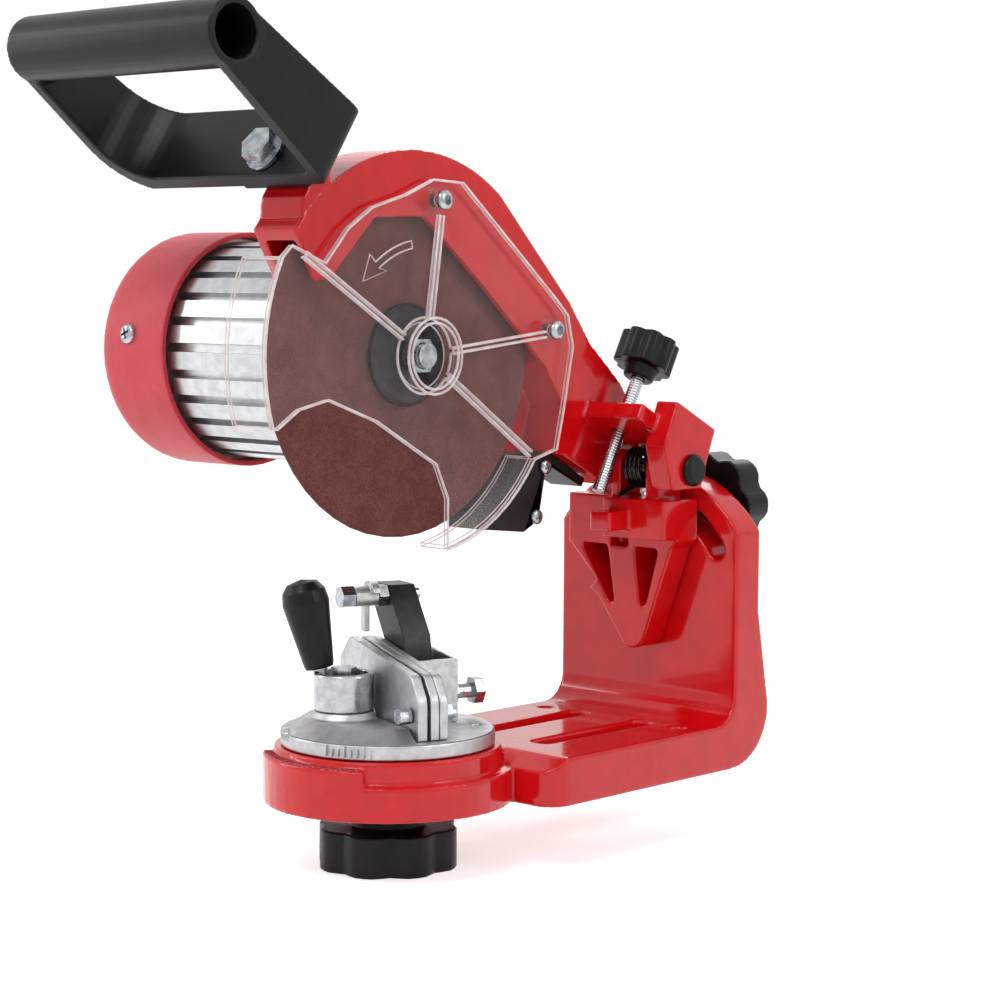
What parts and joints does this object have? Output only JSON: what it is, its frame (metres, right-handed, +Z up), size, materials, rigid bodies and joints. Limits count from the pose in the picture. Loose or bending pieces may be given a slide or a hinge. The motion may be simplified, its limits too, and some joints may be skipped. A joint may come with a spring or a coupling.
{
  "type": "chainsaw sharpener",
  "caption": "Bench sharpener for saw chains: a grinding wheel and motor on a hinged, tilting arm over a swivelling chain vise.",
  "frame": {"origin": "on the vise's turning axis, in the plane of the base's underside that sits on the bench", "axes": "+Z up, +Y away from the operator towards the upright, +X to the operator's right, along the wheel's spindle"},
  "size_m": [0.1973, 0.2933, 0.3343],
  "materials": {
    "red_paint": "gloss red enamel over die casting",
    "pink_red_plastic": "moulded red plastic, slightly faded",
    "black_plastic": "moulded black plastic",
    "clear_plastic": "clear moulded plastic",
    "cast_aluminium": "cast and machined aluminium",
    "zinc_steel": "zinc plated steel",
    "black_steel": "blackened steel",
    "brown_abrasive": "vitrified abrasive"
  },
  "bodies": {
    "base": {"base_frame": "red_paint"},
    "vise": {"turntable": "cast_aluminium", "vise_stud": "zinc_steel", "fixed_jaw": "cast_aluminium", "backing_jaw": "cast_aluminium", "jaw_bolt_left": "zinc_steel", "jaw_bolt_right": "zinc_steel", "jaw_nut_left": "zinc_steel", "jaw_nut_right": "zinc_steel", "stop_bracket": "zinc_steel", "set_screw_nut": "zinc_steel", "cam_pin": "zinc_steel"},
    "sliding_jaw": {"moving_jaw": "cast_aluminium"},
    "chain_stop": {"stop_block": "black_plastic", "stop_bolt": "zinc_steel", "stop_nut": "zinc_steel"},
    "pawl": {"stop_pawl": "zinc_steel"},
    "set_screw": {"stop_set_screw": "zinc_steel"},
    "clamp_lever": {"cam_drum": "zinc_steel", "clamp_grip": "black_plastic"},
    "vise_lock": {"vise_lock_knob": "black_plastic", "vise_lock_washer": "zinc_steel"},
    "tilt_head": {"tilt_bracket": "red_paint", "tilt_pin": "zinc_steel", "tilt_stud": "zinc_steel", "tilt_washer": "zinc_steel", "hinge_pin": "zinc_steel", "return_spring": "black_steel"},
    "tilt_lock": {"tilt_lock_knob": "black_plastic"},
    "arm": {"arm_casting": "red_paint", "hinge_cap": "black_plastic", "motor_housing": "cast_aluminium", "motor_cap": "pink_red_plastic", "cap_screw_1": "zinc_steel", "cap_screw_2": "zinc_steel", "cap_screw_3": "zinc_steel", "handle": "black_plastic", "handle_bolt": "zinc_steel", "wheel_guard": "clear_plastic", "guard_spacer_top": "clear_plastic", "guard_spacer_right": "clear_plastic", "guard_screw_top": "zinc_steel", "guard_screw_right": "zinc_steel", "switch_box": "black_plastic", "switch_cover": "black_plastic", "box_screw_1": "zinc_steel", "box_screw_2": "zinc_steel", "cord_gland": "black_plastic"},
    "rotor": {"spindle": "zinc_steel", "inner_flange": "black_steel", "grinding_wheel": "brown_abrasive", "outer_flange": "black_steel", "spindle_nut": "zinc_steel"},
    "depth_rod": {"depth_screw": "zinc_steel"},
    "depth_hand_knob": {"depth_knob": "black_plastic"},
    "depth_lock": {"depth_lock_disc": "black_steel"},
    "rocker": {"switch_rocker": "black_plastic"}
  },
  "joints": [
    {"name": "vise_swivel", "type": "hinge", "parent": "base", "child": "vise", "pos_m": [0, 0, 0.0228], "axis": [0, 0, 1], "range_deg": [-15, 55]},
    {"name": "vise_lock_turn", "type": "hinge", "parent": "vise", "child": "vise_lock", "pos_m": [0, 0, -0.0105], "axis": [0, 0, 1], "continuous": true},
    {"name": "clamp_turn", "type": "hinge", "parent": "vise", "child": "clamp_lever", "pos_m": [-0.00974, -0.01508, 0.0365], "axis": [0, 0, 1], "range_deg": [0, 80.5]},
    {"name": "jaw_slide", "type": "slide", "parent": "vise", "child": "sliding_jaw", "axis": [0.342, 0.9397, 0], "range_m": [0, 0.0006]},
    {"name": "stop_slide", "type": "slide", "parent": "vise", "child": "chain_stop", "axis": [0.9397, -0.342, 0], "range_m": [-0.0015, 0.0045]},
    {"name": "pawl_swing", "type": "hinge", "parent": "chain_stop", "child": "pawl", "pos_m": [-0.02067, 0.00752, 0.0788], "axis": [0.342, 0.9397, 0], "range_deg": [-20, 90]},
    {"name": "set_screw_turn", "type": "hinge", "parent": "vise", "child": "set_screw", "pos_m": [0.00539, 0.02943, 0.04], "axis": [0.342, 0.9397, 0], "continuous": true},
    {"name": "head_tilt", "type": "hinge", "parent": "base", "child": "tilt_head", "pos_m": [0.0155, 0.145, 0.069], "axis": [0, 1, 0], "range_deg": [-35, 35]},
    {"name": "tilt_lock_turn", "type": "hinge", "parent": "tilt_head", "child": "tilt_lock", "pos_m": [0.0308, 0.161, 0.10972], "axis": [0, 1, 0], "continuous": true},
    {"name": "arm_swing", "type": "hinge", "parent": "tilt_head", "child": "arm", "pos_m": [0, 0.134, 0.127], "axis": [1, 0, 0], "range_deg": [0, 17], "stiffness_Nm_per_rad": 3.5, "springref_deg": -80.21, "deforming": ["return_spring"]},
    {"name": "wheel_spin", "type": "hinge", "parent": "arm", "child": "rotor", "pos_m": [0, 0.007, 0.177], "axis": [1, 0, 0], "continuous": true},
    {"name": "depth_knob_turn", "type": "hinge", "parent": "depth_rod", "child": "depth_hand_knob", "pos_m": [0.0173, 0.13338, 0.16478], "axis": [0, 0.4726, 0.8813], "range_deg": [-1475, 1475]},
    {"name": "depth_screw_travel", "type": "slide", "parent": "arm", "child": "depth_rod", "axis": [0, 0.4726, 0.8813], "range_m": [-0.0051, 0.0051]},
    {"name": "depth_lock_turn", "type": "hinge", "parent": "arm", "child": "depth_lock", "pos_m": [0.0173, 0.12487, 0.14891], "axis": [0, 0.4726, 0.8813], "continuous": true},
    {"name": "rocker_press", "type": "hinge", "parent": "arm", "child": "rocker", "pos_m": [-0.0163, 0.074, 0.1175], "axis": [0, 1, 0], "range_deg": [0, 20]}
  ],
  "couplings": [
    {"joint": "clamp_turn", "follows": "jaw_slide", "rad_per_m": 2331},
    {"joint": "depth_knob_turn", "follows": "depth_screw_travel", "rad_per_m": 5026.6}
  ]
}
